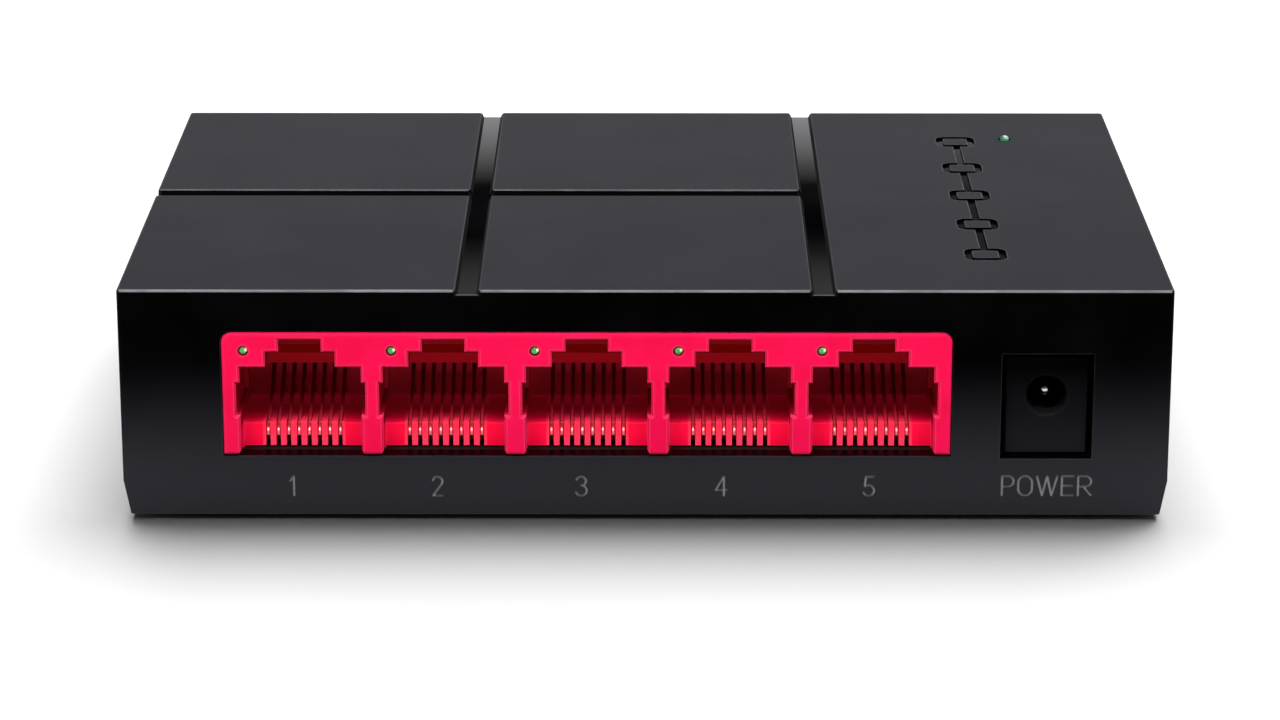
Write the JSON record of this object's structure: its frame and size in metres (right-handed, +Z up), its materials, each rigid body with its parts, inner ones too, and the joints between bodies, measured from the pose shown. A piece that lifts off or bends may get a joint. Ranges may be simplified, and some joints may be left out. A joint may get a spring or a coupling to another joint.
{
  "type": "desktop network switch",
  "caption": "Compact black desktop network switch with tiled roof, a red gang of modular network sockets and a round power socket in front.",
  "frame": {"origin": "centre of the footprint on the surface that the rubber feet stand on", "axes": "+X to the right seen from the ports, +Y from the port panel to the back, +Z up"},
  "size_m": [0.1026, 0.0702, 0.024],
  "materials": {
    "casing_plastic": "fine matt texture on the roof tiles, polished grooves and front",
    "base_plastic": "fine spark-eroded texture",
    "foot_rubber": "matt",
    "screw_steel": "dark plated",
    "label_film": "satin film, blank",
    "board_laminate": "solder mask",
    "port_plastic": "satin, slightly translucent",
    "insert_plastic": "matt moulded",
    "contact_gold": "gold flash on phosphor bronze",
    "light_guide_plastic": "clear green-lit moulding",
    "led_resin": "clear resin",
    "jack_plastic": "satin moulded",
    "pin_nickel": "nickel plate",
    "terminal_bronze": "tin over bronze",
    "chip_epoxy": "matt moulding compound",
    "transformer_epoxy": "matt moulding compound",
    "lead_tin": "matt tin",
    "can_steel": "nickel plated can",
    "ferrite": "sintered ferrite",
    "capacitor_aluminium": "drawn can",
    "capacitor_ceramic": "fired ceramic, tinned ends",
    "resistor_ceramic": "glass coated, tinned ends"
  },
  "bodies": {
    "switch_body": {"top_cover": "casing_plastic", "base_cover": "base_plastic", "foot_front_left": "foot_rubber", "foot_front_right": "foot_rubber", "foot_rear_left": "foot_rubber", "foot_rear_right": "foot_rubber", "base_screws": "screw_steel", "rating_label": "label_film", "circuit_board": "board_laminate", "port_housing": "port_plastic", "port_light_guide": "light_guide_plastic", "power_light_guide": "light_guide_plastic", "power_led": "led_resin", "dc_jack_housing": "jack_plastic", "dc_jack_center_pin": "pin_nickel", "dc_jack_sleeve_terminal": "terminal_bronze", "switch_chip": "chip_epoxy", "switch_chip_leads": "lead_tin", "lan_transformer_leads": "lead_tin", "crystal": "can_steel", "config_memory_chip": "chip_epoxy", "config_memory_leads": "lead_tin", "regulator_chip": "chip_epoxy", "regulator_leads": "lead_tin", "power_inductor": "ferrite", "capacitor_can_1": "capacitor_aluminium", "capacitor_can_2": "capacitor_aluminium", "protection_diode": "chip_epoxy", "ceramic_capacitors": "capacitor_ceramic", "chip_resistors": "resistor_ceramic", "port_1_contact_tails": "contact_gold", "port_1_wire_holder": "insert_plastic", "port_1_led": "led_resin", "lan_transformer_1": "transformer_epoxy", "port_2_contact_tails": "contact_gold", "port_2_wire_holder": "insert_plastic", "port_2_led": "led_resin", "lan_transformer_2": "transformer_epoxy", "port_3_contact_tails": "contact_gold", "port_3_wire_holder": "insert_plastic", "port_3_led": "led_resin", "lan_transformer_3": "transformer_epoxy", "port_4_contact_tails": "contact_gold", "port_4_wire_holder": "insert_plastic", "port_4_led": "led_resin", "lan_transformer_4": "transformer_epoxy", "port_5_contact_tails": "contact_gold", "port_5_wire_holder": "insert_plastic", "port_5_led": "led_resin", "lan_transformer_5": "transformer_epoxy"},
    "port_1_springs": {"port_1_spring_wires": "contact_gold"},
    "port_2_springs": {"port_2_spring_wires": "contact_gold"},
    "port_3_springs": {"port_3_spring_wires": "contact_gold"},
    "port_4_springs": {"port_4_spring_wires": "contact_gold"},
    "port_5_springs": {"port_5_spring_wires": "contact_gold"},
    "power_leaf": {"dc_jack_leaf_spring": "terminal_bronze"}
  },
  "joints": [
    {"name": "port_1_contacts_press", "type": "hinge", "parent": "switch_body", "child": "port_1_springs", "pos_m": [-0.03364, -0.03111, 0.00839], "axis": [-1, 0, 0], "range_deg": [0, 13], "stiffness_Nm_per_rad": 0.3},
    {"name": "port_2_contacts_press", "type": "hinge", "parent": "switch_body", "child": "port_2_springs", "pos_m": [-0.01967, -0.03111, 0.00839], "axis": [-1, 0, 0], "range_deg": [0, 13], "stiffness_Nm_per_rad": 0.3},
    {"name": "port_3_contacts_press", "type": "hinge", "parent": "switch_body", "child": "port_3_springs", "pos_m": [-0.0057, -0.03111, 0.00839], "axis": [-1, 0, 0], "range_deg": [0, 13], "stiffness_Nm_per_rad": 0.3},
    {"name": "port_4_contacts_press", "type": "hinge", "parent": "switch_body", "child": "port_4_springs", "pos_m": [0.00827, -0.03111, 0.00839], "axis": [-1, 0, 0], "range_deg": [0, 13], "stiffness_Nm_per_rad": 0.3},
    {"name": "port_5_contacts_press", "type": "hinge", "parent": "switch_body", "child": "port_5_springs", "pos_m": [0.02224, -0.03111, 0.00839], "axis": [-1, 0, 0], "range_deg": [0, 13], "stiffness_Nm_per_rad": 0.3},
    {"name": "power_leaf_press", "type": "hinge", "parent": "switch_body", "child": "power_leaf", "pos_m": [0.0393, -0.02225, 0.00858], "axis": [1, 0, 0], "range_deg": [0, 3], "stiffness_Nm_per_rad": 0.25}
  ]
}
